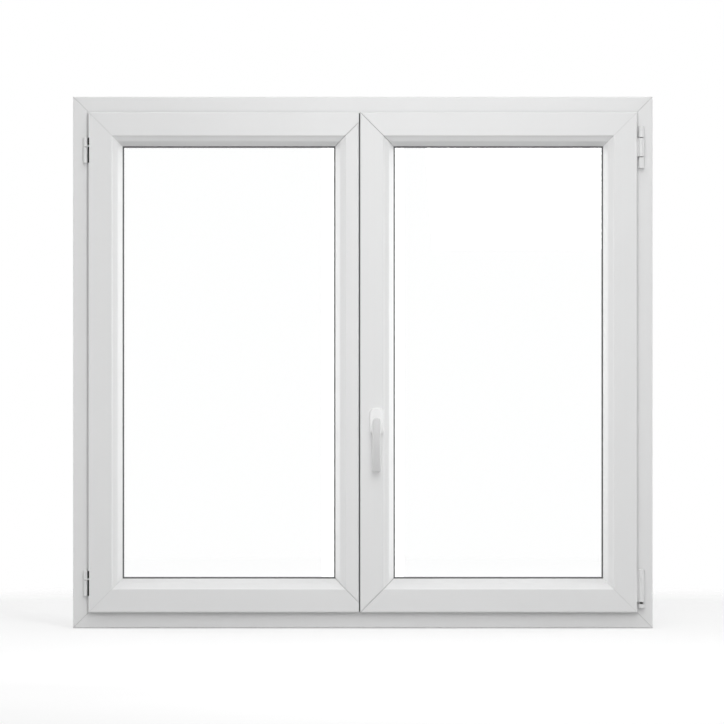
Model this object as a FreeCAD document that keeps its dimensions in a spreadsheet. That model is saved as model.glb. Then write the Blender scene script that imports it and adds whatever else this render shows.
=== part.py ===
import FreeCAD, Part
import Sketcher
import math
import os
from types import SimpleNamespace

# Two-leaf tilt and turn window in white plastic profiles, closed.
# X runs across the window, Y from the room to the outdoors and Z up, in millimetres.
# The origin is the middle of the frame's underside, half way through its depth.
# Every bar is drawn with its depth along Y and its height, from the outer edge inwards, along Z.

SIZES = (
    ("window_width", 1200, "width over the frame"),
    ("window_height", 1100, "height over the frame"),
    ("frame_depth", 70, "frame from room face to outdoor face"),
    ("frame_sight", 32.5, "frame seen beside a leaf from the room"),
    ("frame_edge", 2, "rounding of the frame's outer edges"),
    ("rebate_edge", 2.5, "rounding of the frame's edge under the lip"),
    ("stop_height", 24.5, "stop leg above the rebate floor"),
    ("stop_depth", 22, "stop leg measured through the frame"),
    ("stop_fall", 3, "fall of the stop leg's top towards the outdoors"),
    ("anchor_width", 8, "anchor groove in the frame's back"),
    ("anchor_depth", 3, "depth of an anchor groove"),
    ("anchor_offset", 20, "anchor groove's middle from the middle of the depth"),
    ("lip_overlap", 9, "leaf's lip over the frame"),
    ("lip_gap", 4, "frame face to the back of the lip"),
    ("lip_thickness", 10, "leaf's lip, front to back"),
    ("rebate_air", 12, "rebate floor of the frame to the leaf"),
    ("sash_depth", 70, "leaf from room face to outdoor face"),
    ("sash_face", 50, "flat face of a leaf bar, from lip edge to bead"),
    ("sash_edge", 3, "rounding of the leaf's face edges"),
    ("stop_gap", 4, "leaf's step to the stop leg"),
    ("step_air", 3.5, "top of the stop leg to the leaf's step"),
    ("fitting_width", 16, "groove for the locking gear"),
    ("fitting_depth", 8, "depth of that groove"),
    ("fitting_inset", 19, "back of the lip to that groove"),
    ("leg_height", 19, "leaf's outdoor leg above the glazing floor"),
    ("leg_thickness", 9, "leaf's outdoor leg, front to back"),
    ("leg_edge", 2, "rounding of that leg"),
    ("weld_width", 0.8, "half the groove left by cleaning a welded corner"),
    ("weld_depth", 0.7, "depth of that groove"),
    ("meeting_shift", 7, "gap between the leaves, left of the middle"),
    ("meeting_gap", 2.5, "gap between the faces of the leaves"),
    ("pane_thickness", 4, "each pane of the double glazing"),
    ("glass_cavity", 16, "space between the panes"),
    ("pane_air", 5, "glazing floor to the edge of the glass"),
    ("spacer_inset", 3, "edge of the glass to the spacer"),
    ("spacer_height", 9, "spacer bar between the panes"),
    ("gasket_thickness", 3, "glazing gasket between glass and bar"),
    ("gasket_hold", 9, "gasket hidden behind bead or leg"),
    ("gasket_show", 2.2, "gasket seen beyond bead or leg"),
    ("bead_width", 19.5, "glazing bead seen from the room"),
    ("bead_recess", 3.5, "bead's edge behind the leaf's face"),
    ("bead_nose", 4, "bead's edge at the glass"),
    ("slope_width", 8.3, "bead's shallow slope beside the leaf's face"),
    ("slope_depth", 5.4, "depth that the shallow slope falls"),
    ("turn_width", 2.7, "rounding from the shallow slope to the steep one"),
    ("turn_depth", 3, "depth that the rounding falls"),
    ("turn_radius", 8, "radius of the rounding"),
    ("foot_width", 3.6, "bead's clip foot"),
    ("foot_depth", 3.6, "bead's clip foot below the glazing floor"),
    ("foot_inset", 8, "back of the bead to its clip foot"),
    ("foot_air", 0.2, "clip foot to its groove"),
    ("seal_width", 5, "seal behind the lip"),
    ("seal_inset", 2, "edge of the lip to its seal"),
    ("seal_air", 0.3, "seal at the meeting gap to the left leaf"),
    ("stop_seal_width", 6, "seal on the stop leg"),
    ("stop_seal_rise", 15.5, "rebate floor to the seal on the stop leg"),
    ("astragal_lap", 6, "astragal over the left leaf's outdoor face"),
    ("astragal_proud", 10, "astragal before the leaves' outdoor face"),
    ("astragal_edge", 3, "rounding of the astragal"),
    ("astragal_air", 1, "stop leg to the end of the astragal"),
    ("cap_air", 2, "rebate floor to the astragal's end cap"),
    ("handle_backset", 34.25, "lip edge of the right leaf to the handle's axis"),
    ("handle_height", 428, "handle's axis above the frame's underside"),
    ("rose_width", 30, "handle rose"),
    ("rose_height", 57, "handle rose"),
    ("rose_thickness", 10, "handle rose"),
    ("rose_corner", 12, "rounded corners of the rose"),
    ("rose_edge", 2.5, "rounded front edge of the rose"),
    ("recess_depth", 6, "round recess in the rose for the lever's neck"),
    ("neck_radius", 7.5, "lever's neck"),
    ("neck_air", 0.3, "neck to the rose"),
    ("lever_width", 17.4, "lever seen from the room"),
    ("lever_reach", 104.3, "handle's axis to the lever's end"),
    ("lever_thickness", 11, "lever, front to back"),
    ("lever_arch", 250, "radius of the lever's arched front"),
    ("lever_front", 48, "leaf's face to the front of the lever"),
    ("lever_edge", 2.6, "rounded front edge of the lever"),
    ("crown_flat", 0.1, "flat left at the top of the lever's round crown"),
    ("barrel_stand", 1.4, "frame face to a hinge barrel"),
    ("pin_air", 0.15, "hinge pin to its barrel"),
    ("left_radius", 4.6, "left hinge barrel"),
    ("left_air", 1.4, "left hinge barrel to the lip edge"),
    ("left_pin", 2.2, "radius of the left hinge pin"),
    ("left_drop", 52.5, "top of the left leaf to its upper hinge"),
    ("left_rise", 34.3, "underside of the left leaf to its lower hinge"),
    ("left_frame_barrel", 32.4, "length of the barrel on the frame"),
    ("left_sash_barrel", 18.8, "length of the barrel on the leaf"),
    ("left_split", 1, "gap between those barrels"),
    ("left_tab", 3.2, "tab that joins the leaf's barrel to the lip"),
    ("tab_depth", 6, "tab measured through the window"),
    ("pad_depth", 1.6, "hinge pad let into the lip's edge"),
    ("pad_proud", 1.2, "hinge pad outside the lip's edge"),
    ("pad_air", 0.4, "hinge pad to the tab"),
    ("right_radius", 6.1, "right hinge barrel"),
    ("right_air", 2.7, "right hinge barrel to the lip edge"),
    ("right_pin", 3, "radius of the right hinge pin"),
    ("right_drop", 29.3, "top of the right leaf to its upper hinge"),
    ("right_knuckle", 22.5, "upper hinge barrel on the frame, two of them"),
    ("right_middle", 38.5, "upper hinge barrel on the leaf"),
    ("right_split", 1.4, "gap between those barrels"),
    ("right_rise", 9.5, "underside of the right leaf to its corner bearing"),
    ("bearing_height", 8.2, "corner bearing on the frame"),
    ("bearing_gap", 4.4, "corner bearing to the barrel above it"),
    ("bearing_barrel", 67.6, "barrel above the corner bearing"),
    ("arm_depth", 4, "arm from a right barrel to the lip's edge"),
    ("drain_width", 44, "drain cap on the sill's outdoor face"),
    ("drain_height", 14, "drain cap"),
    ("drain_depth", 5, "drain cap"),
    ("drain_lip", 5, "upright front of the drain cap"),
    ("drain_rise", 14, "frame's underside to a drain cap"),
    ("drain_pitch", 440, "drain cap to drain cap"),
    ("drain_count", 3, "number of drain caps"),
)


class Size:
    """A length kept as a number, to draw with, and as the expression that drives it."""

    def __init__(self, number, text):
        self.number = number
        self.text = text

    def __add__(self, other):
        other = as_size(other)
        return Size(self.number + other.number, f"({self.text} + {other.text})")

    def __sub__(self, other):
        other = as_size(other)
        return Size(self.number - other.number, f"({self.text} - {other.text})")

    def __rsub__(self, other):
        return as_size(other) - self

    def __mul__(self, factor):
        return Size(self.number * factor, f"({self.text} * {factor})")

    def __truediv__(self, factor):
        return Size(self.number / factor, f"({self.text} / {factor})")

    def __neg__(self):
        return Size(-self.number, f"(0 - {self.text})")

    __radd__ = __add__


def as_size(value):
    return value if isinstance(value, Size) else Size(value, str(value))


doc = FreeCAD.newDocument("tilt_and_turn_window")
sheet = doc.addObject("Spreadsheet::Sheet", "sizes")
for row, (alias, value, note) in enumerate(SIZES, start=1):
    sheet.set(f"A{row}", note)
    sheet.set(f"B{row}", str(value))
    sheet.setAlias(f"B{row}", alias)
doc.recompute()
size = SimpleNamespace(**{alias: Size(value, f"sizes.{alias}") for alias, value, note in SIZES})
nodes = []

# Planes through the depth, room side first
frame_room = -size.frame_depth / 2
frame_out = size.frame_depth / 2
lip_back = frame_room - size.lip_gap
sash_room = lip_back - size.lip_thickness
sash_out = sash_room + size.sash_depth
stop_face = frame_out - size.stop_depth
step_face = stop_face - size.stop_gap
leg_face = sash_out - size.leg_thickness
outer_pane_out = leg_face - size.gasket_thickness
outer_pane_room = outer_pane_out - size.pane_thickness
inner_pane_out = outer_pane_room - size.glass_cavity
inner_pane_room = inner_pane_out - size.pane_thickness
bead_back = inner_pane_room - size.gasket_thickness

# Heights in the frame's section, from its outer edge, and in the leaf's, from its lip edge
rebate_floor = size.frame_sight + size.lip_overlap
stop_top = rebate_floor + size.stop_height
lip_width = size.lip_overlap + size.rebate_air
step_height = size.lip_overlap + size.stop_height + size.step_air
leg_top = size.sash_face + size.leg_height

# Edges of the frame and of the two leaves: left, right, bottom, top
half_width = size.window_width / 2
frame_edges = (-half_width, half_width, as_size(0), size.window_height)
leaf_bottom = size.frame_sight
leaf_top = size.window_height - size.frame_sight
right_lip = size.meeting_gap / 2 - size.meeting_shift
meeting_face = -size.meeting_shift - size.meeting_gap / 2
left_edges = (size.frame_sight - half_width, meeting_face + lip_width, leaf_bottom, leaf_top)
right_edges = (right_lip, half_width - size.frame_sight, leaf_bottom, leaf_top)

# The astragal stands for the frame where the leaves meet, so it has the frame's rebate and stop leg
astragal_floor = right_lip + size.lip_overlap
astragal_bottom = stop_top + size.astragal_air
astragal_top = size.window_height - astragal_bottom
step_wall = meeting_face - (step_height - lip_width)


def inset(edges, distance):
    """The rectangle that lies a distance inside another one."""
    left, right, bottom, top = edges
    return (left + distance, right - distance, bottom + distance, top - distance)


def new_body(node):
    body = doc.addObject("PartDesign::Body", node)
    body.Label = node
    nodes.append(body)
    return body


def new_sketch(body, name, plane, offset=None):
    """A sketch on one of its body's origin planes, moved along the plane's normal by an offset."""
    sketch = body.newObject("Sketcher::SketchObject", name)
    support = [feature for feature in body.Origin.OriginFeatures if feature.Role == plane]
    sketch.AttachmentSupport = [(support[0], "")]
    sketch.MapMode = "FlatFace"
    if offset is not None:
        sketch.setExpression("AttachmentOffset.Base.z", as_size(offset).text)
    return sketch


def bind(sketch, constraint, value):
    """Add a dimension to a sketch and drive it from the sheet."""
    index = sketch.addConstraint(Sketcher.Constraint(*constraint, value.number))
    sketch.setExpression(f"Constraints[{index}]", value.text)


def corner(across, up, fillet=None, arc=None):
    """A corner of an outline, rounded by a fillet or followed by an arc of a given radius."""
    return SimpleNamespace(across=as_size(across), up=as_size(up), fillet=fillet, arc=arc)


def heading(start, end):
    """Direction between two corners, as numbers."""
    run = end.across.number - start.across.number
    rise = end.up.number - start.up.number
    length = math.hypot(run, rise)
    return run / length, rise / length


def along(start, direction, distance):
    """A coordinate moved by a distance along an axis-parallel direction."""
    if abs(direction) < 0.5:
        return start
    return start + distance if direction > 0 else start - distance


def split_fillets(corners):
    """Points of an outline, each with the radius and turn of the arc that follows it, if any."""
    points = []
    for index, here in enumerate(corners):
        if here.fillet is None:
            arc = (here.arc, 1) if here.arc else None
            points.append((here.across, here.up, arc))
            continue
        came = heading(corners[index - 1], here)
        goes = heading(here, corners[(index + 1) % len(corners)])
        turn = 1 if came[0] * goes[1] - came[1] * goes[0] > 0 else -1
        start = (along(here.across, -came[0], here.fillet), along(here.up, -came[1], here.fillet))
        end = (along(here.across, goes[0], here.fillet), along(here.up, goes[1], here.fillet))
        points.append((*start, (here.fillet, turn)))
        points.append((*end, None))
    return points


def arc_between(start, end, radius, turn):
    """The short arc between two points, turning left for 1 and right for -1."""
    if turn < 0:
        start, end = end, start
    middle = (start + end) / 2
    chord = end - start
    rise = math.sqrt(max(radius ** 2 - chord.Length ** 2 / 4, 0))
    side = FreeCAD.Vector(-chord.y, chord.x, 0).normalize()
    centre = middle + side * rise
    first = math.atan2(start.y - centre.y, start.x - centre.x)
    last = math.atan2(end.y - centre.y, end.x - centre.x)
    circle = Part.Circle(centre, FreeCAD.Vector(0, 0, 1), radius)
    return Part.ArcOfCircle(circle, first, last if last > first else last + 2 * math.pi)


def draw_outline(sketch, corners):
    """Draw a closed outline with its corners driven from the sheet."""
    points = split_fillets(corners)
    places = [FreeCAD.Vector(across.number, up.number, 0) for across, up, arc in points]
    ends = []
    for index, (across, up, arc) in enumerate(points):
        start = places[index]
        end = places[(index + 1) % len(points)]
        if arc is None:
            line = sketch.addGeometry(Part.LineSegment(start, end), False)
            ends.append((line, 1, 2))
            continue
        radius, turn = arc
        curve = sketch.addGeometry(arc_between(start, end, radius.number, turn), False)
        ends.append((curve, 1, 2) if turn > 0 else (curve, 2, 1))
    for index, (across, up, arc) in enumerate(points):
        before, _, before_end = ends[index - 1]
        here, here_start, _ = ends[index]
        sketch.addConstraint(Sketcher.Constraint("Coincident", before, before_end, here, here_start))
        bind(sketch, ("DistanceX", -1, 1, here, here_start), across)
        bind(sketch, ("DistanceY", -1, 1, here, here_start), up)
        if arc is not None:
            bind(sketch, ("Radius", here), arc[0])


def draw_circle(sketch, across, up, radius):
    across = as_size(across)
    up = as_size(up)
    centre = FreeCAD.Vector(across.number, up.number, 0)
    normal = FreeCAD.Vector(0, 0, 1)
    circle = sketch.addGeometry(Part.Circle(centre, normal, radius.number), False)
    bind(sketch, ("DistanceX", -1, 1, circle, 3), across)
    bind(sketch, ("DistanceY", -1, 1, circle, 3), up)
    bind(sketch, ("Radius", circle), radius)


def rectangle(edges):
    left, right, bottom, top = edges
    return [corner(left, bottom), corner(right, bottom), corner(right, top), corner(left, top)]


def pad(body, name, sketch, length, symmetric=False):
    feature = body.newObject("PartDesign::Pad", name)
    feature.Profile = sketch
    feature.SideType = "Symmetric" if symmetric else "One side"
    feature.setExpression("Length", as_size(length).text)
    doc.recompute()
    return feature


def pocket(body, name, sketch, depth=None, reverse=False):
    """Cut a sketch into its body: through everything both ways, or to a depth behind the sketch."""
    before = body.Shape.Volume
    feature = body.newObject("PartDesign::Pocket", name)
    feature.Profile = sketch
    if depth is None:
        feature.Type = "ThroughAll"
        feature.SideType = "Symmetric"
    else:
        feature.setExpression("Length", as_size(depth).text)
        feature.Reversed = reverse
    doc.recompute()
    if body.Shape.Volume > before - 1e-6:
        raise RuntimeError(f"{body.Label}: {name} cuts nothing")
    return feature


def edge_names(shape, wanted):
    """Names of the edges whose middle meets a test."""
    names = []
    for index, edge in enumerate(shape.Edges, start=1):
        middle = edge.valueAt((edge.FirstParameter + edge.LastParameter) / 2)
        if wanted(edge, middle):
            names.append(f"Edge{index}")
    return names


def fillet(body, name, base, names, radius):
    feature = body.newObject("PartDesign::Fillet", name)
    feature.Base = (base, names)
    feature.setExpression("Radius", radius.text)
    doc.recompute()
    return feature


def slab(body, name, outlines, out_face, room_face):
    """A plate or ring parallel to the glass, between two planes through the depth."""
    sketch = new_sketch(body, f"{name}_outline", "XZ_Plane", -out_face)
    for outline in outlines:
        draw_outline(sketch, outline)
    return pad(body, name, sketch, out_face - room_face)


def post(body, name, outline, bottom, top):
    """An upright bar with a given plan, between two heights."""
    sketch = new_sketch(body, f"{name}_plan", "XY_Plane", bottom)
    draw_outline(sketch, outline)
    return pad(body, name, sketch, top - bottom)


def barrel(body, name, axis, radius, bottom, top):
    """An upright round bar about a hinge axis."""
    sketch = new_sketch(body, f"{name}_plan", "XY_Plane", bottom)
    draw_circle(sketch, axis[0], axis[1], radius)
    return pad(body, name, sketch, top - bottom)


def bore(body, name, axis, radius, bottom, top):
    """A round hole down from a height along a hinge axis."""
    sketch = new_sketch(body, f"{name}_plan", "XY_Plane", top)
    draw_circle(sketch, axis[0], axis[1], radius)
    return pocket(body, name, sketch, top - bottom)


def frame_profile():
    near = size.anchor_offset - size.anchor_width / 2
    far = size.anchor_offset + size.anchor_width / 2
    return [
        corner(frame_room, 0, fillet=size.frame_edge),
        corner(-far, 0),
        corner(-far, size.anchor_depth),
        corner(-near, size.anchor_depth),
        corner(-near, 0),
        corner(near, 0),
        corner(near, size.anchor_depth),
        corner(far, size.anchor_depth),
        corner(far, 0),
        corner(frame_out, 0, fillet=size.frame_edge),
        corner(frame_out, stop_top - size.stop_fall),
        corner(stop_face, stop_top),
        corner(stop_face, rebate_floor),
        corner(frame_room, rebate_floor, fillet=size.rebate_edge),
    ]


def sash_profile(has_lip):
    groove_room = lip_back + size.fitting_inset
    groove_out = groove_room + size.fitting_width
    foot_out = bead_back - size.foot_inset + size.foot_air
    foot_room = foot_out - size.foot_width - size.foot_air * 2
    foot_floor = size.sash_face - size.foot_depth - size.foot_air
    lip = [
        corner(sash_room, 0, fillet=size.sash_edge),
        corner(lip_back, 0),
        corner(lip_back, lip_width),
    ]
    no_lip = [corner(sash_room, lip_width, fillet=size.sash_edge)]
    return (lip if has_lip else no_lip) + [
        corner(groove_room, lip_width),
        corner(groove_room, lip_width + size.fitting_depth),
        corner(groove_out, lip_width + size.fitting_depth),
        corner(groove_out, lip_width),
        corner(step_face, lip_width),
        corner(step_face, step_height),
        corner(sash_out, step_height),
        corner(sash_out, leg_top, fillet=size.leg_edge),
        corner(leg_face, leg_top),
        corner(leg_face, size.sash_face),
        corner(foot_out, size.sash_face),
        corner(foot_out, foot_floor),
        corner(foot_room, foot_floor),
        corner(foot_room, size.sash_face),
        corner(sash_room, size.sash_face, fillet=size.sash_edge),
    ]


def bead_profile():
    """A bead: a shallow slope beside the leaf's face, then a steep one down to the glass."""
    front = sash_room + size.bead_recess
    slope_end = front + size.slope_depth
    foot_out = bead_back - size.foot_inset
    foot_room = foot_out - size.foot_width
    return [
        corner(front, 0),
        corner(foot_room, 0),
        corner(foot_room, -size.foot_depth),
        corner(foot_out, -size.foot_depth),
        corner(foot_out, 0),
        corner(bead_back, 0),
        corner(bead_back, size.bead_width),
        corner(bead_back - size.bead_nose, size.bead_width),
        corner(slope_end + size.turn_depth, size.slope_width + size.turn_width, arc=size.turn_radius),
        corner(slope_end, size.slope_width),
    ]


def mitre_corners(half_length, height, side, trim):
    """Outline of what a 45 degree cut takes off one end of a bar, with its lip cut square if trimmed."""
    end = half_length if side > 0 else -half_length
    inner = half_length - height if side > 0 else height - half_length
    waste = [corner(end, 0), corner(end, height), corner(inner, height)]
    if trim is None:
        return waste
    square = half_length - trim if side > 0 else trim - half_length
    return waste + [corner(square, trim), corner(square, 0)]


def weld_corners(half_length, start, stop, side):
    """Outline of the shallow groove beside a welded corner, along the mitre."""
    signed = half_length if side > 0 else -half_length

    def place(height, offset):
        step = height + offset
        return signed - step if side > 0 else signed + step

    return [
        corner(place(start, 0), start),
        corner(place(stop, 0), stop),
        corner(place(stop, size.weld_width), stop),
        corner(place(start, size.weld_width), start),
    ]


# Turn about Y that brings a bar's inward direction to its side of the ring
TURNS = {"bottom": 0, "left": 90, "top": 180, "right": -90}


def mitred_bar(node, profile, height, edges, side, trims=(None, None), welds=()):
    """A bar of a ring: its profile run along one side and cut at 45 degrees at both ends.

    Each weld is a face of the bar, as its depth plane, the heights between which the corner's
    weld shows on it and whether it faces the room.
    """
    left, right, bottom, top = edges
    upright = side in ("left", "right")
    length = top - bottom if upright else right - left
    body = new_body(node)
    section = new_sketch(body, f"{node}_section", "YZ_Plane")
    draw_outline(section, profile)
    pad(body, f"{node}_run", section, length, symmetric=True)
    ends = new_sketch(body, f"{node}_ends", "XZ_Plane")
    for end, trim in zip((-1, 1), trims):
        draw_outline(ends, mitre_corners(length / 2, height, end, trim))
    pocket(body, f"{node}_mitre", ends)
    for face, start, stop, faces_room in welds:
        groove = new_sketch(body, f"{node}_weld", "XZ_Plane", -face)
        for end in (-1, 1):
            draw_outline(groove, weld_corners(length / 2, start, stop, end))
        pocket(body, f"{node}_weld_groove", groove, size.weld_depth, reverse=not faces_room)
    turn = FreeCAD.Rotation(FreeCAD.Vector(0, 1, 0), TURNS[side])
    body.Placement = FreeCAD.Placement(FreeCAD.Vector(0, 0, 0), turn)
    base_x = {"left": left, "right": right}.get(side, (left + right) / 2)
    base_z = {"bottom": bottom, "top": top}.get(side, (bottom + top) / 2)
    body.setExpression("Placement.Base.x", base_x.text)
    body.setExpression("Placement.Base.z", base_z.text)
    return body


def make_frame():
    names = {
        "bottom": "frame_sill",
        "top": "frame_head",
        "left": "frame_left_jamb",
        "right": "frame_right_jamb",
    }
    welds = (
        (frame_room, as_size(0), rebate_floor, True),
        (frame_out, as_size(0), stop_top - size.stop_fall, False),
    )
    for side, node in names.items():
        mitred_bar(node, frame_profile(), stop_top, frame_edges, side, welds=welds)


def make_leaf(leaf, edges, hinge_side):
    """The four welded bars of one leaf; the left leaf has no lip at the meeting gap."""
    full = leaf == "right"
    trims = {"bottom": (None, None), "top": (None, None)}
    if not full:
        trims = {"bottom": (None, lip_width), "top": (lip_width, None)}
    meeting_side = "left" if hinge_side == "right" else "right"
    names = {
        "bottom": "bottom_rail",
        "top": "top_rail",
        hinge_side: "hinge_stile",
        meeting_side: "meeting_stile",
    }
    for side, name in names.items():
        lipped = full or side != meeting_side
        face_start = as_size(0) if lipped else lip_width
        welds = (
            (sash_room, face_start, size.sash_face, True),
            (sash_out, step_height, leg_top, False),
        )
        mitred_bar(
            f"{leaf}_sash_{name}",
            sash_profile(lipped),
            leg_top,
            edges,
            side,
            trims=trims.get(side, (None, None)),
            welds=welds,
        )


def make_glazing(leaf, edges):
    """Beads, double glazing, spacer and glazing gaskets of one leaf."""
    bead_edges = inset(edges, size.sash_face)
    for side in TURNS:
        mitred_bar(f"{leaf}_bead_{side}", bead_profile(), size.bead_width, bead_edges, side)
    glass_edges = inset(bead_edges, size.pane_air)
    panes = new_body(f"{leaf}_panes")
    slab(panes, f"{leaf}_outer_pane", [rectangle(glass_edges)], outer_pane_out, outer_pane_room)
    slab(panes, f"{leaf}_inner_pane", [rectangle(glass_edges)], inner_pane_out, inner_pane_room)
    spacer_edges = inset(glass_edges, size.spacer_inset)
    spacer = new_body(f"{leaf}_spacer")
    ring = [rectangle(spacer_edges), rectangle(inset(spacer_edges, size.spacer_height))]
    slab(spacer, f"{leaf}_spacer_ring", ring, outer_pane_room, inner_pane_out)
    bead_gasket = new_body(f"{leaf}_bead_gasket")
    seen = inset(bead_edges, size.bead_width + size.gasket_show)
    held = inset(bead_edges, size.bead_width - size.gasket_hold)
    ring = [rectangle(held), rectangle(seen)]
    slab(bead_gasket, f"{leaf}_bead_gasket_ring", ring, inner_pane_room, bead_back)
    leg_gasket = new_body(f"{leaf}_leg_gasket")
    seen = inset(bead_edges, size.leg_height + size.gasket_show)
    held = inset(bead_edges, size.leg_height - size.gasket_hold)
    ring = [rectangle(held), rectangle(seen)]
    slab(leg_gasket, f"{leaf}_leg_gasket_ring", ring, leg_face, outer_pane_out)


def make_seals():
    """Seals behind the leaves' lips, one of them across the meeting gap, and on the stop."""
    ring = inset(right_edges, size.seal_inset)
    bulb = (meeting_face + size.seal_air, *ring[1:])
    right_seal = new_body("right_lip_seal")
    outlines = [rectangle(bulb), rectangle(inset(ring, size.seal_width))]
    slab(right_seal, "right_lip_seal_ring", outlines, frame_room, lip_back)
    left, _, bottom, top = inset(left_edges, size.seal_inset)
    thick = size.seal_width
    left_seal = new_body("left_lip_seal")
    outline = [
        corner(meeting_face, bottom),
        corner(meeting_face, bottom + thick),
        corner(left + thick, bottom + thick),
        corner(left + thick, top - thick),
        corner(meeting_face, top - thick),
        corner(meeting_face, top),
        corner(left, top),
        corner(left, bottom),
    ]
    slab(left_seal, "left_lip_seal_run", [outline], frame_room, lip_back)
    ring = inset(frame_edges, rebate_floor + size.stop_seal_rise)
    stop_seal = new_body("stop_seal")
    outlines = [rectangle(ring), rectangle(inset(ring, size.stop_seal_width))]
    slab(stop_seal, "stop_seal_ring", outlines, stop_face, step_face)
    near = astragal_floor + size.stop_seal_rise
    strip = (near, near + size.stop_seal_width, astragal_bottom, astragal_top)
    slab(stop_seal, "stop_seal_strip", [rectangle(strip)], stop_face, step_face)


def make_astragal():
    stop_end = astragal_floor + size.stop_height
    cover_out = sash_out + size.astragal_proud
    cover_left = step_wall - size.astragal_lap
    astragal = new_body("astragal")
    outline = [
        corner(meeting_face, frame_room),
        corner(astragal_floor, frame_room),
        corner(astragal_floor, stop_face),
        corner(stop_end, stop_face),
        corner(stop_end, cover_out, fillet=size.astragal_edge),
        corner(cover_left, cover_out, fillet=size.astragal_edge),
        corner(cover_left, sash_out),
        corner(step_wall, sash_out),
        corner(step_wall, step_face),
        corner(meeting_face, step_face),
    ]
    post(astragal, "astragal_run", outline, astragal_bottom, astragal_top)
    caps = new_body("astragal_end_caps")
    plan = rectangle((meeting_face, astragal_floor, frame_room, step_face))
    low_end = rebate_floor + size.cap_air
    post(caps, "astragal_foot", plan, low_end, astragal_bottom)
    post(caps, "astragal_head", plan, astragal_top, size.window_height - low_end)


def make_handle():
    axis_x = right_lip + size.handle_backset
    axis_z = size.handle_height
    half_rose = size.rose_width / 2
    half_height = size.rose_height / 2
    rose = new_body("handle_rose")
    outline = [
        corner(axis_x - half_rose, axis_z - half_height, fillet=size.rose_corner),
        corner(axis_x + half_rose, axis_z - half_height, fillet=size.rose_corner),
        corner(axis_x + half_rose, axis_z + half_height, fillet=size.rose_corner),
        corner(axis_x - half_rose, axis_z + half_height, fillet=size.rose_corner),
    ]
    rose_front = sash_room - size.rose_thickness
    plate = slab(rose, "rose_plate", [outline], sash_room, rose_front)
    front = edge_names(plate.Shape, lambda edge, middle: abs(middle.y - rose_front.number) < 0.01)
    fillet(rose, "rose_edge", plate, front, size.rose_edge)
    recess = new_sketch(rose, "rose_recess_outline", "XZ_Plane", -rose_front)
    draw_circle(recess, axis_x, axis_z, size.neck_radius + size.neck_air)
    pocket(rose, "rose_recess", recess, size.recess_depth)

    lever = new_body("handle_lever")
    lever_front = sash_room - size.lever_front
    half_lever = size.lever_width / 2
    top = axis_z + half_lever
    bottom = axis_z - size.lever_reach
    side = new_sketch(lever, "lever_side", "YZ_Plane", axis_x)
    draw_arch(side, lever_front, axis_z, top, bottom)
    arch = pad(lever, "lever_arch", side, size.lever_width, symmetric=True)
    shoulders = edge_names(
        arch.Shape,
        lambda edge, middle: abs(middle.z - top.number) < 0.01 and abs(middle.x - axis_x.number) > 1,
    )
    crown = fillet(lever, "lever_crown", arch, shoulders, half_lever - size.crown_flat)
    reach = size.lever_arch.number
    centre_y = lever_front.number + reach

    def on_front(edge, middle):
        return abs(math.hypot(middle.y - centre_y, middle.z - axis_z.number) - reach) < 0.01

    fillet(lever, "lever_edge", crown, edge_names(crown.Shape, on_front), size.lever_edge)
    neck_end = rose_front + size.recess_depth - size.neck_air
    neck = new_sketch(lever, "lever_neck_outline", "XZ_Plane", -neck_end)
    draw_circle(neck, axis_x, axis_z, size.neck_radius)
    neck_length = neck_end - lever_front - size.lever_thickness / 2
    pad(lever, "lever_neck", neck, neck_length)


def draw_arch(sketch, front, foremost, top, bottom):
    """Side view of the lever: two arcs about one centre, cut level at both ends."""
    outer = size.lever_arch
    inner = size.lever_arch - size.lever_thickness
    centre = FreeCAD.Vector(front.number + outer.number, foremost.number, 0)
    arcs = []
    for radius in (outer, inner):
        first = math.pi - math.asin((top.number - centre.y) / radius.number)
        last = math.pi - math.asin((bottom.number - centre.y) / radius.number)
        circle = Part.Circle(centre, FreeCAD.Vector(0, 0, 1), radius.number)
        arcs.append(sketch.addGeometry(Part.ArcOfCircle(circle, first, last), False))
    near, far = arcs
    lines = []
    for end in (1, 2):
        edge = Part.LineSegment(sketch.getPoint(near, end), sketch.getPoint(far, end))
        lines.append(sketch.addGeometry(edge, False))
    top_line, bottom_line = lines
    sketch.addConstraint(Sketcher.Constraint("Coincident", near, 1, top_line, 1))
    sketch.addConstraint(Sketcher.Constraint("Coincident", top_line, 2, far, 1))
    sketch.addConstraint(Sketcher.Constraint("Coincident", near, 2, bottom_line, 1))
    sketch.addConstraint(Sketcher.Constraint("Coincident", bottom_line, 2, far, 2))
    sketch.addConstraint(Sketcher.Constraint("Coincident", near, 3, far, 3))
    bind(sketch, ("DistanceX", -1, 1, near, 3), front + outer)
    bind(sketch, ("DistanceY", -1, 1, near, 3), foremost)
    bind(sketch, ("Radius", near), outer)
    bind(sketch, ("Radius", far), inner)
    for line in (top_line, bottom_line):
        sketch.addConstraint(Sketcher.Constraint("Horizontal", line))
    bind(sketch, ("DistanceY", -1, 1, near, 1), top)
    bind(sketch, ("DistanceY", -1, 1, near, 2), bottom)


def frame_barrel(body, name, axis, radius, bottom, top):
    """A hinge barrel on the frame: round in front and square back to the frame's face."""
    barrel(body, f"{name}_barrel", axis, radius, bottom, top)
    plan = rectangle((axis[0] - radius, axis[0] + radius, axis[1], frame_room))
    post(body, f"{name}_foot", plan, bottom, top)


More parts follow.
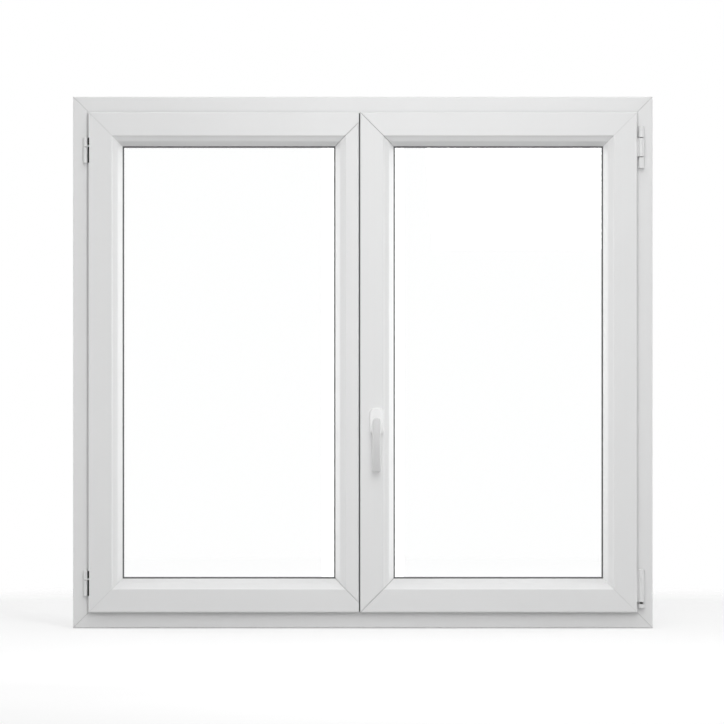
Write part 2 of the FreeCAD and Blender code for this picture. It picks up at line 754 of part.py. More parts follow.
def make_left_hinge(place, bottom):
    """A hinge of the left leaf: barrel on the frame with its pin, barrel and tab on the lip."""
    radius = size.left_radius
    lip_edge = left_edges[0]
    axis = (lip_edge - size.left_air - radius, frame_room - size.barrel_stand - radius)
    split = bottom + size.left_frame_barrel
    sash_bottom = split + size.left_split
    top = sash_bottom + size.left_sash_barrel
    frame_part = new_body(f"left_{place}_hinge_frame_part")
    frame_barrel(frame_part, f"left_{place}_frame", axis, radius, bottom, split)
    barrel(frame_part, f"left_{place}_pin", axis, size.left_pin, split, top - size.left_split)
    sash_part = new_body(f"left_{place}_hinge_sash_part")
    barrel(sash_part, f"left_{place}_sash_barrel", axis, radius, sash_bottom, top)
    tab_plan = rectangle((axis[0], lip_edge + size.pad_depth, lip_back - size.tab_depth, lip_back))
    post(sash_part, f"left_{place}_tab", tab_plan, sash_bottom, sash_bottom + size.left_tab)
    bore(
        sash_part,
        f"left_{place}_bore",
        axis,
        size.left_pin + size.pin_air,
        sash_bottom,
        top - size.left_split + size.pin_air,
    )
    return bottom, sash_bottom, top


def make_left_hinges():
    """Both hinges of the left leaf, and the dark pads let into the lip beside their barrels."""
    length = size.left_frame_barrel + size.left_split + size.left_sash_barrel
    bottoms = {
        "lower": left_edges[2] + size.left_rise,
        "upper": left_edges[3] - size.left_drop - length,
    }
    pads = new_body("left_hinge_pads")
    stile = doc.getObject("left_sash_hinge_stile")
    edge = left_edges[0]
    middle = (left_edges[2] + left_edges[3]) / 2
    notch = new_sketch(stile, "hinge_notch_outline", "XZ_Plane")
    for place, start in bottoms.items():
        bottom, tab_bottom, top = make_left_hinge(place, start)
        tab_top = tab_bottom + size.left_tab
        spans = ((bottom, tab_bottom - size.pad_air), (tab_top + size.pad_air, top))
        for index, (low, high) in enumerate(spans):
            face = rectangle((edge - size.pad_proud, edge + size.pad_depth, low, high))
            slab(pads, f"left_{place}_pad_{index}", [face], lip_back, sash_room + size.sash_edge)
        cut = (middle - top, middle - bottom, as_size(0), size.pad_depth)
        draw_outline(notch, rectangle(cut))
    pocket(stile, "hinge_notch", notch)


def right_axis():
    radius = size.right_radius
    return (right_edges[1] + size.right_air + radius, frame_room - size.barrel_stand - radius)


def sash_arm(body, name, axis, bottom, top):
    """The arm that joins a barrel of the right leaf to the edge of the lip."""
    plan = rectangle((right_edges[1], axis[0], lip_back - size.arm_depth, lip_back))
    post(body, name, plan, bottom, top)


def make_right_upper_hinge():
    """Two barrels on the frame with the pin between them, and the stay's barrel on the leaf."""
    axis = right_axis()
    radius = size.right_radius
    top = right_edges[3] - size.right_drop
    top_split = top - size.right_knuckle
    middle_top = top_split - size.right_split
    middle_bottom = middle_top - size.right_middle
    low_split = middle_bottom - size.right_split
    bottom = low_split - size.right_knuckle
    frame_part = new_body("right_upper_hinge_frame_part")
    frame_barrel(frame_part, "right_upper_high", axis, radius, top_split, top)
    barrel(frame_part, "right_upper_pin", axis, size.right_pin, low_split, top_split)
    frame_barrel(frame_part, "right_upper_low", axis, radius, bottom, low_split)
    sash_part = new_body("right_upper_hinge_sash_part")
    barrel(sash_part, "right_upper_sash_barrel", axis, radius, middle_bottom, middle_top)
    sash_arm(sash_part, "right_upper_arm", axis, middle_bottom, middle_top)
    bore(sash_part, "right_upper_bore", axis, size.right_pin + size.pin_air, middle_bottom, middle_top)


def make_right_lower_hinge():
    """The corner bearing on the frame with its pin, and the barrel on the leaf that turns on it."""
    axis = right_axis()
    radius = size.right_radius
    bottom = right_edges[2] + size.right_rise
    bearing_top = bottom + size.bearing_height
    barrel_bottom = bearing_top + size.bearing_gap
    top = barrel_bottom + size.bearing_barrel
    pin_top = (barrel_bottom + top) / 2
    frame_part = new_body("right_lower_hinge_frame_part")
    frame_barrel(frame_part, "right_lower_bearing", axis, radius, bottom, bearing_top)
    barrel(frame_part, "right_lower_pin", axis, size.right_pin, bearing_top, pin_top)
    sash_part = new_body("right_lower_hinge_sash_part")
    barrel(sash_part, "right_lower_sash_barrel", axis, radius, barrel_bottom, top)
    sash_arm(sash_part, "right_lower_arm", axis, barrel_bottom, top)
    bore(
        sash_part,
        "right_lower_bore",
        axis,
        size.right_pin + size.pin_air,
        barrel_bottom,
        pin_top + size.pin_air,
    )


def make_drain_caps():
    """Hooded caps over the drain slots in the sill's outdoor face."""
    caps = new_body("drain_caps")
    low = size.drain_rise
    high = size.drain_rise + size.drain_height
    first = -size.drain_pitch * (size.drain_count.number - 1) / 2
    section = new_sketch(caps, "drain_cap_section", "YZ_Plane", first)
    outline = [
        corner(frame_out, low),
        corner(frame_out + size.drain_depth, low),
        corner(frame_out + size.drain_depth, low + size.drain_lip),
        corner(frame_out, high),
    ]
    draw_outline(section, outline)
    hood = pad(caps, "drain_cap_hood", section, size.drain_width, symmetric=True)
    row = caps.newObject("PartDesign::LinearPattern", "drain_cap_row")
    row.Originals = [hood]
    axis = [feature for feature in caps.Origin.OriginFeatures if feature.Role == "X_Axis"]
    row.Direction = (axis[0], [""])
    row.Mode = "Spacing"
    row.setExpression("Offset", size.drain_pitch.text)
    row.setExpression("Occurrences", "sizes.drain_count")
    caps.Tip = row
    doc.recompute()


make_frame()
for leaf, edges, hinge_side in (("left", left_edges, "left"), ("right", right_edges, "right")):
    make_leaf(leaf, edges, hinge_side)
    make_glazing(leaf, edges)
make_seals()
make_astragal()
make_handle()
make_left_hinges()
make_right_upper_hinge()
make_right_lower_hinge()
make_drain_caps()

doc.recompute()
for item in doc.Objects:
    if "Invalid" in item.State or "Error" in item.State:
        raise RuntimeError(f"{item.Label} failed: {item.State}")
for body in nodes:
    if body.Shape.isNull() or not body.Shape.isValid():
        raise RuntimeError(f"{body.Label} has no valid shape")

os.makedirs("parts", exist_ok=True)
for body in nodes:
    body.Shape.exportStep(f"parts/{body.Label}.step")
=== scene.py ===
import math

import bmesh
import bpy
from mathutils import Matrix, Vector


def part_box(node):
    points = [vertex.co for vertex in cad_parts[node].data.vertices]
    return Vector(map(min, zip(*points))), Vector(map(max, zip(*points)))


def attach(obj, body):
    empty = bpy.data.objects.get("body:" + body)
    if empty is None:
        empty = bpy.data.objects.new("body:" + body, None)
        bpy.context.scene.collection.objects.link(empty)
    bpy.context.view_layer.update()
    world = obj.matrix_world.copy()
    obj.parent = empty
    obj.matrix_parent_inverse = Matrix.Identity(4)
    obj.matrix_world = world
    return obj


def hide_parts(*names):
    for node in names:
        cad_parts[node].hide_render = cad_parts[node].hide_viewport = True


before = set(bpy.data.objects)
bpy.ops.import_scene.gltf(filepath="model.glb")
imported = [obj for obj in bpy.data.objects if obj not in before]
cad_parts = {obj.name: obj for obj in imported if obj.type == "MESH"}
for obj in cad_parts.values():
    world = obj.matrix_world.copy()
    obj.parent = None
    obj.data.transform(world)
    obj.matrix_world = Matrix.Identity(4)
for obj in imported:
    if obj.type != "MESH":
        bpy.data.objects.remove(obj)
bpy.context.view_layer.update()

# Two-leaf tilt and turn window in white plastic, seen square-on from the room.
# X runs across the window, Y from the room to the outdoors and Z up, in metres.

MM = 0.001


# Shader maths

class Socket:
    """One output of a shader node, with sums and products written as Python."""

    def __init__(self, finish, output):
        self.finish = finish
        self.output = output

    def maths(self, operation, first, second):
        return self.finish.node("ShaderNodeMath", {"operation": operation}, {0: first, 1: second})

    def __add__(self, other):
        return self.maths("ADD", self, other)

    def __sub__(self, other):
        return self.maths("SUBTRACT", self, other)

    def __rsub__(self, other):
        return self.maths("SUBTRACT", other, self)

    def __mul__(self, other):
        return self.maths("MULTIPLY", self, other)

    def __truediv__(self, other):
        return self.maths("DIVIDE", self, other)

    def __abs__(self):
        return self.maths("ABSOLUTE", self, 0)

    def least(self, other):
        return self.maths("MINIMUM", self, other)

    def most(self, other):
        return self.maths("MAXIMUM", self, other)

    __radd__ = __add__
    __rmul__ = __mul__


class Finish:
    """The node tree of one material, or of the world."""

    def __init__(self, owner):
        self.owner = owner
        owner.use_nodes = True
        self.tree = owner.node_tree
        self.tree.nodes.clear()

    def node(self, kind, settings=None, inputs=None, output=0):
        made = self.tree.nodes.new(kind)
        for name, value in (settings or {}).items():
            setattr(made, name, value)
        for key, value in (inputs or {}).items():
            if isinstance(value, Socket):
                self.tree.links.new(value.output, made.inputs[key])
            else:
                made.inputs[key].default_value = value
        return Socket(self, made.outputs[output]) if made.outputs else made

    def coordinate(self, axis):
        """The object coordinate along X, Y or Z, in metres."""
        where = self.node("ShaderNodeTexCoord", output="Object")
        return self.node("ShaderNodeSeparateXYZ", inputs={0: where}, output=axis)

    def noise(self, waves, detail=2.0):
        """Soft noise from 0 to 1 with so many waves to a metre, in all directions or in each."""
        where = self.node("ShaderNodeTexCoord", output="Object")
        scale = (waves,) * 3 if isinstance(waves, int) else waves
        place = self.node("ShaderNodeMapping", inputs={"Vector": where, "Scale": scale})
        inputs = {"Vector": place, "Scale": 1.0, "Detail": detail}
        return self.node("ShaderNodeTexNoise", inputs=inputs)

    def blend(self, factor, first, second):
        """A colour between two others, each written as numbers or worked out by nodes."""
        ends = [end if isinstance(end, Socket) else (*end, 1) for end in (first, second)]
        # The Mix node's colour sockets share their names with others, so they go by number.
        inputs = {0: factor, 6: ends[0], 7: ends[1]}
        return self.node("ShaderNodeMix", {"data_type": "RGBA"}, inputs, output=2)

    def light_path(self, name):
        return self.node("ShaderNodeLightPath", output=name)

    def bump(self, height, distance, strength=1.0, over=None):
        """A relief of a given height in metres, laid over another one if there is one."""
        inputs = {"Height": height, "Distance": distance, "Strength": strength}
        if over:
            inputs["Normal"] = over
        return self.node("ShaderNodeBump", inputs=inputs)

    def surface(self, inputs):
        shader = self.node("ShaderNodeBsdfPrincipled", inputs=inputs)
        self.node("ShaderNodeOutputMaterial", inputs={"Surface": shader})
        return self.owner


def new_finish(name):
    return Finish(bpy.data.materials.new(name))


# Finishes

SEAM_WIDTH = 0.7 * MM
# Painted shade: the welded mitres are drawn as dark grey lines that stand for the shade in their
# grooves.
PAINTED_SEAM_SHADE = (0.2, 0.2, 0.2)
# How strong the painted seam shade and the seam groove are: plain on the frame, and on a leaf
# strongest where the leaves meet, fading towards the hinges.
FRAME_SEAM = 0.6
MIDDLE_SEAM = 1.15
SEAM_FALL = 1.9
LEAST_SEAM = 0.25


def mitre_seam(finish, ring, width):
    """1 on the welded mitres of a ring of bars, falling to 0 at a width beside them."""
    low, high = ring
    middle = (low + high) / 2
    half = (high - low) / 2
    from_side = half.x - abs(finish.coordinate("X") - middle.x)
    from_end = half.z - abs(finish.coordinate("Z") - middle.z)
    return 1 - (abs(from_side - from_end) / width).least(1)


def seam_shade_weight(finish, name):
    """How strong the painted seam shade and the seam groove are: plain on the frame, and on a leaf
    most where the leaves meet.
    """
    if "frame" in name:
        return FRAME_SEAM
    return (MIDDLE_SEAM - SEAM_FALL * abs(finish.coordinate("X"))).most(LEAST_SEAM).least(1)


def white_profile(name, along, ring):
    """Extruded white plastic: faint die lines along the bar, a slow change of shade, welded mitres
    drawn as dark lines of painted shade in their grooves.
    """
    finish = new_finish(name)
    lines = finish.noise([1.2 if axis == along else 700 for axis in "xyz"], 3.0)
    cloud = finish.noise(6, 1.0)
    grain = finish.noise(2600, 1.0)
    tone = 0.6 * cloud + 0.4 * lines
    skin = finish.blend(tone, (0.775, 0.778, 0.778), (0.818, 0.82, 0.82))
    # The dark line on each weld is painted shade, strongest on a leaf where the leaves meet.
    depth = seam_shade_weight(finish, name)
    painted_seam_mask = depth * mitre_seam(finish, ring, SEAM_WIDTH)
    groove = depth * mitre_seam(finish, ring, 3 * SEAM_WIDTH)
    fine = finish.bump(lines + 0.35 * grain, 0.02 * MM, 0.6)
    return finish.surface({
        "Base Color": finish.blend(0.9 * painted_seam_mask, skin, PAINTED_SEAM_SHADE),
        "Roughness": 0.3 + 0.14 * lines + 0.2 * painted_seam_mask,
        "Normal": finish.bump(1 - groove, SEAM_WIDTH, over=fine),
        "IOR": 1.53,
    })


def coated_metal(name, dark, light):
    """White powder coat with a fine orange-peel skin."""
    finish = new_finish(name)
    peel = finish.noise(900)
    cloud = finish.noise(25, 1.0)
    return finish.surface({
        "Base Color": finish.blend(cloud, dark, light),
        "Roughness": 0.24 + 0.12 * peel,
        "Normal": finish.bump(peel, 0.03 * MM, 0.5),
        "Coat Weight": 0.15,
        "Coat Roughness": 0.12,
    })


def moulded_plastic(name, dark, light, rough, gloss=0.5):
    """Injection moulded plastic with a spark-eroded grain."""
    finish = new_finish(name)
    grain = finish.noise(1800)
    cloud = finish.noise(40, 1.0)
    return finish.surface({
        "Base Color": finish.blend(cloud, dark, light),
        "Roughness": rough + 0.15 * grain,
        "Normal": finish.bump(grain, 0.04 * MM, 0.6),
        "Specular IOR Level": gloss,
    })


def rubber(name, dark, light):
    """Extruded rubber, dull, with a dusty bloom."""
    finish = new_finish(name)
    bloom = finish.noise(60, 3.0)
    grain = finish.noise(2200, 1.0)
    return finish.surface({
        "Base Color": finish.blend(bloom, dark, light),
        "Roughness": 0.6 + 0.2 * bloom,
        "Normal": finish.bump(grain, 0.04 * MM, 0.5),
        "Specular IOR Level": 0.1,
    })


def spacer_metal():
    """Rolled aluminium with fine brush marks."""
    finish = new_finish("spacer_metal")
    brush = finish.noise(500, 3.0)
    return finish.surface({
        "Base Color": finish.blend(brush, (0.62, 0.63, 0.64), (0.75, 0.76, 0.77)),
        "Roughness": 0.3 + 0.2 * brush,
        "Metallic": 1.0,
    })


def clear_glass():
    """Float glass, very faintly green, that lets the lamps' light through."""
    finish = new_finish("clear_glass")
    haze = finish.noise(9)
    glass = finish.node("ShaderNodeBsdfPrincipled", inputs={
        "Base Color": finish.blend(haze, (0.996, 0.999, 0.998), (0.999, 1.0, 1.0)),
        "Roughness": 0.012 * haze,
        "Transmission Weight": 1.0,
        "IOR": 1.5,
    })
    open_to_light = finish.node("ShaderNodeBsdfTransparent")
    lit = finish.light_path("Is Shadow Ray")
    shader = finish.node("ShaderNodeMixShader", inputs={0: lit, 1: glass, 2: open_to_light})
    finish.node("ShaderNodeOutputMaterial", inputs={"Surface": shader})
    return finish.owner


def steel_pin():
    """Burnished dark steel of the hinge pins."""
    finish = new_finish("steel_pin")
    brush = finish.noise((300, 300, 2500))
    return finish.surface({
        "Base Color": finish.blend(brush, (0.03, 0.03, 0.028), (0.06, 0.06, 0.056)),
        "Roughness": 0.35 + 0.2 * brush,
        "Metallic": 0.5,
    })


FINISHES = {
    "white_cap": moulded_plastic("white_cap", (0.77, 0.772, 0.77), (0.81, 0.812, 0.81), 0.35),
    # Painted shade: the lever's white coat is made grey to stand in for the shade on its front; the
    # real lever is as white as the rose.
    "white_handle": coated_metal("white_handle", (0.7, 0.702, 0.702), (0.73, 0.732, 0.732)),
    # Painted light: the rose is a lighter copy of the lever's white coat, standing for the bright
    # light that falls on it.
    "white_rose": coated_metal("white_rose", (0.85, 0.851, 0.851), (0.87, 0.871, 0.871)),
    "white_hinge": coated_metal("white_hinge", (0.76, 0.762, 0.762), (0.8, 0.802, 0.802)),
    "steel_pin": steel_pin(),
    "clear_glass": clear_glass(),
    "spacer_metal": spacer_metal(),
    "glazing_rubber": rubber("glazing_rubber", (0.11, 0.112, 0.114), (0.16, 0.162, 0.164)),
    "seal_rubber": rubber("seal_rubber", (0.13, 0.135, 0.14), (0.2, 0.2, 0.21)),
    "black_plastic": moulded_plastic(
        "black_plastic", (0.006, 0.006, 0.007), (0.014, 0.014, 0.015), 0.7, gloss=0.05),
}


def ring_box(start, grow=0.0):
    """Corners of the ring that the bars with a name's start make, grown on all sides."""
    boxes = [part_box(name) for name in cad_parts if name.startswith(start)]
    low = Vector([min(box[0][axis] for box in boxes) for axis in range(3)])
    high = Vector([max(box[1][axis] for box in boxes) for axis in range(3)])
    edge = Vector((grow, grow, grow))
    return low - edge, high + edge


BEAD_FOOT = 3.6 * MM
SASH_FACE = 50 * MM
RINGS = {"frame": ring_box("frame_"), "astragal": ring_box("frame_")}
for leaf in ("left", "right"):
    RINGS[f"{leaf}_bead"] = ring_box(f"{leaf}_bead_", -BEAD_FOOT)
    RINGS[f"{leaf}_sash"] = ring_box(f"{leaf}_bead_", SASH_FACE - BEAD_FOOT)
BAR_FINISHES = {
    (ring, along): white_profile(f"white_{ring}_{along}", along, RINGS[ring])
    for ring in RINGS for along in "xz"
}


def bar_finish(node_name):
    """The white finish of a bar's ring, with its die lines along the bar."""
    low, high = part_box(node_name)
    ring = next(start for start in RINGS if node_name.startswith(start))
    return BAR_FINISHES[ring, "x" if high.x - low.x > high.z - low.z else "z"]


for node_name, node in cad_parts.items():
    for holder in node.material_slots:
        slot_name = holder.material.name.split(".")[0]
        is_bar = slot_name == "white_profile"
        holder.material = bar_finish(node_name) if is_bar else FINISHES[slot_name]


# Shapes that the pieces are made from

SHARP = math.radians(50)
NEARLY_ALL = 0.99


def draw(shape, points):
    """A flat face through a few corners."""
    face = shape.faces.new([shape.verts.new(point) for point in points])
    face.normal_update()


def plate(left, right, bottom, top, room):
    """An upright rectangle that faces the room."""
    shape = bmesh.new()
    draw(shape, [(left, room, bottom), (right, room, bottom), (right, room, top), (left, room, top)])
    return shape


def near(value, target):
    return abs(value - target) < 1e-5


def round_corners(shape, corners, radius, segments):
    bmesh.ops.bevel(
        shape, geom=corners, offset=radius, segments=segments, profile=0.5,
        affect="VERTICES", material=-1)


def round_edges(shape, wanted, radius, segments):
    """Round the edges whose two ends meet a test."""
    edges = [edge for edge in shape.edges if all(wanted(vert.co) for vert in edge.verts)]
    bmesh.ops.bevel(
        shape, geom=edges, offset=radius, segments=segments, profile=0.5,
        affect="EDGES", material=-1, clamp_overlap=True)


def thicken(shape, step):
    """Draw a flat shape out into a solid."""
    made = bmesh.ops.extrude_face_region(shape, geom=shape.faces[:], use_keep_orig=True)
    moved = [item for item in made["geom"] if isinstance(item, bmesh.types.BMVert)]
    bmesh.ops.translate(shape, verts=moved, vec=step)
    bmesh.ops.recalc_face_normals(shape, faces=shape.faces[:])


def cut(shape, place, normal):
    """Add edges where a plane crosses a shape."""
    everything = shape.verts[:] + shape.edges[:] + shape.faces[:]
    bmesh.ops.bisect_plane(shape, geom=everything, dist=1e-7, plane_co=place, plane_no=normal)


def lathe(profile, axis_x, axis_z):
    """A profile of depths and radii turned about an axis through the window."""
    shape = bmesh.new()
    verts = [shape.verts.new((axis_x + radius, depth, axis_z)) for depth, radius in profile]
    edges = [shape.edges.new(pair) for pair in zip(verts, verts[1:])]
    bmesh.ops.spin(
        shape, geom=verts + edges, cent=(axis_x, 0, axis_z), axis=(0, 1, 0), angle=math.tau,
        steps=48, use_merge=True)
    bmesh.ops.remove_doubles(shape, verts=shape.verts[:], dist=1e-7)
    return shape


def join(first, *others):
    """Put other shapes into the first one's mesh."""
    for other in others:
        mesh = bpy.data.meshes.new("joined")
        other.to_mesh(mesh)
        other.free()
        first.from_mesh(mesh)
        bpy.data.meshes.remove(mesh)
    return first


def to_object(name, shape):
    mesh = bpy.data.meshes.new(name)
    shape.to_mesh(mesh)
    shape.free()
    made = bpy.data.objects.new(name, mesh)
    bpy.context.scene.collection.objects.link(made)
    return made


def to_piece(name, shape, body, finish_name, node=None):
    """Finish a mesh as a piece that stands for a CAD node, or adds to one if none is named."""
    bmesh.ops.recalc_face_normals(shape, faces=shape.faces[:])
    for face in shape.faces:
        face.smooth = True
    for edge in shape.edges:
        edge.smooth = edge.calc_face_angle(0) < SHARP
    piece = to_object(name, shape)
    piece.data.materials.append(FINISHES[finish_name])
    even = piece.modifiers.new("even_shading", "WEIGHTED_NORMAL")
    even.keep_sharp = True
    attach(piece, body)
    if node:
        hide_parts(node)


# Handle

LEVER_THICKNESS = 11 * MM
LEVER_TIP_CORNER = 3.5 * MM
LEVER_FRONT_EDGE = 2.8 * MM
LEVER_BACK_EDGE = 1.6 * MM
LEVER_ARCH = 250 * MM
LEVER_CROSS_ARCH = 34 * MM
LEVER_BANDS = 40
LEVER_STRIP = 1.6 * MM
NECK_RADIUS = 7.5 * MM
NECK_FLARE = 0.9 * MM
ROSE_CORNER = 12 * MM
ROSE_EDGE = 3.2 * MM
COLLAR_AIR = 0.4 * MM
COLLAR_HEIGHT = 1 * MM
COLLAR_SHOULDER = 0.7 * MM
SUNK = 0.5 * MM


def make_lever():
    """Arched lever with a round crown, a soft front and a neck that turns in the rose."""
    low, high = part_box("handle_lever")
    half = (high.x - low.x) / 2
    axis_x = low.x + half
    axis_z = high.z - half
    front = low.y
    back = front + LEVER_THICKNESS
    shape = plate(low.x, high.x, low.z, high.z, front)
    crown = [vert for vert in shape.verts if near(vert.co.z, high.z)]
    round_corners(shape, crown, half * NEARLY_ALL, 14)
    tip = [vert for vert in shape.verts if near(vert.co.z, low.z)]
    round_corners(shape, tip, LEVER_TIP_CORNER, 6)
    thicken(shape, (0, LEVER_THICKNESS, 0))
    round_edges(shape, lambda place: near(place.y, front), LEVER_FRONT_EDGE, 6)
    round_edges(shape, lambda place: near(place.y, back), LEVER_BACK_EDGE, 4)
    for band in range(1, LEVER_BANDS):
        cut(shape, (0, 0, low.z + (high.z - low.z) * band / LEVER_BANDS), (0, 0, 1))
    for strip in range(-3, 4):
        cut(shape, (axis_x + strip * LEVER_STRIP, 0, 0), (1, 0, 0))
    for vert in shape.verts:
        along = vert.co.z - axis_z
        across = vert.co.x - axis_x
        depth = (vert.co.y - front) / LEVER_THICKNESS
        vert.co.y += LEVER_ARCH - math.sqrt(LEVER_ARCH ** 2 - along ** 2)
        vert.co.y += (1 - depth) * (LEVER_CROSS_ARCH - math.sqrt(LEVER_CROSS_ARCH ** 2 - across ** 2))
    neck = lathe([
        (back - SUNK, 0),
        (back - SUNK, NECK_RADIUS + NECK_FLARE),
        (back + 7 * MM, NECK_RADIUS + NECK_FLARE - 0.4 * MM),
        (back + 9 * MM, NECK_RADIUS),
        (high.y, NECK_RADIUS),
        (high.y, 0),
    ], axis_x, axis_z)
    to_piece("lever", join(shape, neck), "handle", "white_handle", "handle_lever")


def make_rose():
    """Rose with round corners, a soft front edge and a collar for the neck."""
    low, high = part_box("handle_rose")
    axis_x = (low.x + high.x) / 2
    axis_z = (low.z + high.z) / 2
    shape = plate(low.x, high.x, low.z, high.z, low.y)
    round_corners(shape, shape.verts[:], ROSE_CORNER, 10)
    thicken(shape, (0, high.y - low.y, 0))
    round_edges(shape, lambda place: near(place.y, low.y), ROSE_EDGE, 7)
    inside = NECK_RADIUS + COLLAR_AIR
    outside = inside + 2 * MM
    collar = lathe([
        (low.y + SUNK, inside),
        (low.y - COLLAR_SHOULDER, inside),
        (low.y - COLLAR_HEIGHT, inside + 0.4 * MM),
        (low.y - COLLAR_SHOULDER, inside + 1.4 * MM),
        (low.y, outside),
        (low.y + SUNK, outside),
        (low.y + SUNK, inside),
    ], axis_x, axis_z)
    # The rose's finish is the handle's white coat painted lighter, for the light on it.
    to_piece("rose", join(shape, collar), "window", "white_rose", "handle_rose")


make_lever()
make_rose()


# Hinges

BARREL_RIM = 0.9 * MM
BARREL_STAND = 1.4 * MM
FRAME_FACE = -35 * MM
LIP_BACK = FRAME_FACE - 4 * MM
ARM_EDGE = 0.5 * MM
LEFT_FRAME_BARREL = 32.4 * MM
LEFT_PIN = 2.2 * MM
LEFT_TAB = 3.2 * MM
LEFT_TAB_DEPTH = 6 * MM
RIGHT_KNUCKLE = 22.5 * MM
RIGHT_BEARING = 8.2 * MM
RIGHT_PIN = 3 * MM
RIGHT_ARM_DEPTH = 4 * MM


def draw_up(shape, bottom, top):
    """Draw a plan up into a bar with rounded rims."""
    thicken(shape, (0, 0, top - bottom))
    round_edges(shape, lambda place: near(place.z, bottom), BARREL_RIM, 4)
    round_edges(shape, lambda place: near(place.z, top), BARREL_RIM, 4)
    return shape


def frame_barrel(axis_x, radius, bottom, top):
    """Barrel on the frame: round in front and square back to the frame's face."""
    front = FRAME_FACE - BARREL_STAND - 2 * radius
    shape = bmesh.new()
    draw(shape, [
        (axis_x - radius, front, bottom),
        (axis_x + radius, front, bottom),
        (axis_x + radius, FRAME_FACE, bottom),
        (axis_x - radius, FRAME_FACE, bottom),
    ])
    corners = [vert for vert in shape.verts if near(vert.co.y, front)]
    round_corners(shape, corners, radius * NEARLY_ALL, 14)
    return draw_up(shape, bottom, top)


def round_bar(axis_x, radius, bottom, top, bar_radius=None):
    """Upright round bar on the axis of barrels with a radius, as thick as they are or thinner."""
    shape = bmesh.new()
    bmesh.ops.create_circle(shape, cap_ends=True, segments=48, radius=bar_radius or radius)
    axis_y = FRAME_FACE - BARREL_STAND - radius
    bmesh.ops.translate(shape, verts=shape.verts[:], vec=(axis_x, axis_y, bottom))
    return draw_up(shape, bottom, top)


def arm(left, right, depth, bottom, top):
    """Flat arm from a barrel to the leaf's lip."""
    front = LIP_BACK - depth
    shape = bmesh.new()
    draw(shape, [
        (left, front, bottom),
        (right, front, bottom),
        (right, LIP_BACK, bottom),
        (left, LIP_BACK, bottom),
    ])
    thicken(shape, (0, 0, top - bottom))
    round_edges(shape, lambda place: near(place.y, front), ARM_EDGE, 3)
    return shape


def hinge_axis(node):
    """The box of a hinge's frame part, its barrel's radius and where its axis stands."""
    low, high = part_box(node)
    radius = (high.x - low.x) / 2
    return low, high, radius, low.x + radius


def make_left_hinge(place):
    """Barrel and pin on the frame, and the leaf's barrel with its tab."""
    node = f"left_{place}_hinge_frame_part"
    low, high, radius, axis_x = hinge_axis(node)
    split = low.z + LEFT_FRAME_BARREL
    barrel = frame_barrel(axis_x, radius, low.z, split)
    to_piece(f"left_{place}_hinge_barrel", barrel, "window", "white_hinge", node)
    pin = round_bar(axis_x, radius, split, high.z, LEFT_PIN)
    to_piece(f"left_{place}_hinge_pin", pin, "window", "steel_pin")
    node = f"left_{place}_hinge_sash_part"
    low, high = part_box(node)
    shape = join(
        round_bar(axis_x, radius, low.z, high.z),
        arm(axis_x, high.x, LEFT_TAB_DEPTH, low.z, low.z + LEFT_TAB))
    to_piece(f"left_{place}_hinge_tab", shape, "window", "white_hinge", node)


def make_right_upper_hinge():
    """Two barrels and a pin on the frame, and the stay's barrel with its arm on the leaf."""
    node = "right_upper_hinge_frame_part"
    low, high, radius, axis_x = hinge_axis(node)
    pin_bottom = low.z + RIGHT_KNUCKLE
    pin_top = high.z - RIGHT_KNUCKLE
    shape = join(
        frame_barrel(axis_x, radius, low.z, pin_bottom),
        frame_barrel(axis_x, radius, pin_top, high.z))
    to_piece("right_upper_hinge_barrels", shape, "window", "white_hinge", node)
    pin = round_bar(axis_x, radius, pin_bottom, pin_top, RIGHT_PIN)
    to_piece("right_upper_hinge_pin", pin, "window", "steel_pin")
    make_stay("right_upper", axis_x, radius)


def make_right_lower_hinge():
    """The corner bearing with its pin on the frame, and the barrel on the leaf above it."""
    node = "right_lower_hinge_frame_part"
    low, high, radius, axis_x = hinge_axis(node)
    bearing_top = low.z + RIGHT_BEARING
    bearing = frame_barrel(axis_x, radius, low.z, bearing_top)
    to_piece("right_corner_bearing", bearing, "window", "white_hinge", node)
    pin = round_bar(axis_x, radius, bearing_top, high.z, RIGHT_PIN)
    to_piece("right_corner_pin", pin, "window", "steel_pin")
    make_stay("right_lower", axis_x, radius)


def make_stay(place, axis_x, radius):
    """The leaf's barrel and the arm that carries it."""
    node = f"{place}_hinge_sash_part"
    low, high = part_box(node)
    shape = join(
        round_bar(axis_x, radius, low.z, high.z),
        arm(low.x, axis_x, RIGHT_ARM_DEPTH, low.z, high.z))
    to_piece(f"{place}_hinge_stay", shape, "window", "white_hinge", node)


for height in ("upper", "lower"):
    make_left_hinge(height)
make_right_upper_hinge()
make_right_lower_hinge()


# Glazing gaskets

BEAD_GASKET_WIDTH = 12 * MM
LEG_GASKET_WIDTH = 10.4 * MM
GASKET_LIP = 1.3 * MM


def make_gasket(node, width, lip_side):
    """Glazing gasket: a flat ring whose seen edge is a round lip."""
    low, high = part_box(node)
    shape = plate(low.x, high.x, low.z, high.z, low.y)
    ring = bmesh.ops.inset_region(
        shape, faces=shape.faces[:], thickness=width, use_boundary=True, use_even_offset=True)
    hole = [face for face in shape.faces if face not in ring["faces"]]
    bmesh.ops.delete(shape, geom=hole, context="FACES")
    thicken(shape, (0, high.y - low.y, 0))
    seen = low.y if lip_side == "room" else high.y

    def on_lip(place):
        around_hole = low.x + width / 2 < place.x < high.x - width / 2
        around_hole = around_hole and low.z + width / 2 < place.z < high.z - width / 2
        return around_hole and near(place.y, seen)

    round_edges(shape, on_lip, GASKET_LIP, 4)
    to_piece(f"{node}_lip", shape, "window", "glazing_rubber", node)


for leaf in ("left", "right"):
    make_gasket(f"{leaf}_bead_gasket", BEAD_GASKET_WIDTH, "room")
    make_gasket(f"{leaf}_leg_gasket", LEG_GASKET_WIDTH, "outdoors")


# Drain caps

